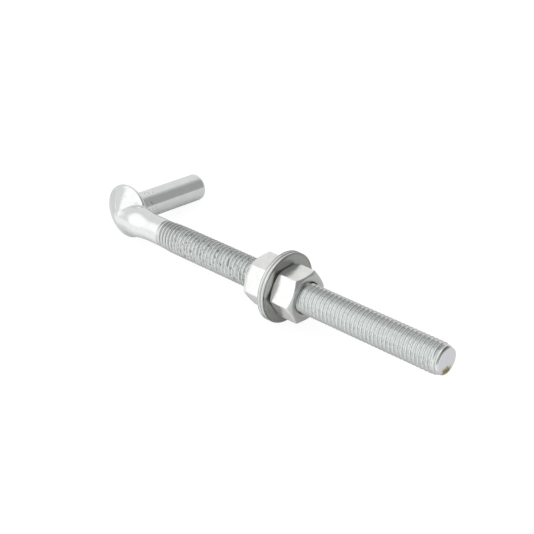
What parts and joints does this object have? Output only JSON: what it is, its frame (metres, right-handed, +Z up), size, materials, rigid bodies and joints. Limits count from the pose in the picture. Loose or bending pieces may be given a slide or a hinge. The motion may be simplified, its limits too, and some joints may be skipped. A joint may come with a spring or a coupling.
{
  "type": "hook bolt gate hinge",
  "caption": "L-shaped hook bolt for a gate hinge: upright round pin, forged collar and a long threaded shank with hex nuts and plain washers.",
  "frame": {"origin": "centre of the box's footprint, on the level surface that the bolt lies on", "axes": "+X along the shank to its threaded tip, +Y to the hinge pin's free end, +Z up. The bolt lies on its collar's edge, its pin's end and the inner washer's rim, so the shank rises 1.4 degrees to its tip and the pin dips 8.2 degrees to its end."},
  "size_m": [0.2278, 0.0744, 0.0361],
  "materials": {
    "bolt_zinc": "bright zinc plate over a forged surface and a rolled thread",
    "nut_zinc": "bright zinc plate, drawn flats with fine lengthwise lines",
    "washer_zinc": "bright zinc plate on a stamped washer, smooth rim"
  },
  "bodies": {
    "bolt": {"bolt": "bolt_zinc"},
    "inner_washer": {"inner_washer": "washer_zinc"},
    "inner_nut": {"inner_nut": "nut_zinc"},
    "outer_washer": {"outer_washer": "washer_zinc"},
    "outer_nut": {"outer_nut": "nut_zinc"}
  },
  "joints": [
    {"name": "outer_travel", "type": "slide", "parent": "bolt", "child": "outer_washer", "axis": [0.9997, 0, 0.0247], "range_m": [0, 0.0806]},
    {"name": "outer_nut_turn", "type": "hinge", "parent": "outer_washer", "child": "outer_nut", "pos_m": [0.02638, -0.02015, 0.01838], "axis": [0.9997, 0, 0.0247], "range_deg": [0, 12565.98]},
    {"name": "inner_travel", "type": "slide", "parent": "bolt", "child": "inner_washer", "axis": [0.9997, 0, 0.0247], "range_m": [-0.0566, 0]},
    {"name": "inner_nut_turn", "type": "hinge", "parent": "inner_washer", "child": "inner_nut", "pos_m": [0.00919, -0.02015, 0.01796], "axis": [0.9997, 0, 0.0247], "range_deg": [-8824.25, 0]}
  ],
  "couplings": [
    {"joint": "outer_travel", "follows": "outer_nut_turn", "m_per_rad": 0.0003675},
    {"joint": "inner_travel", "follows": "inner_nut_turn", "m_per_rad": 0.0003675}
  ]
}
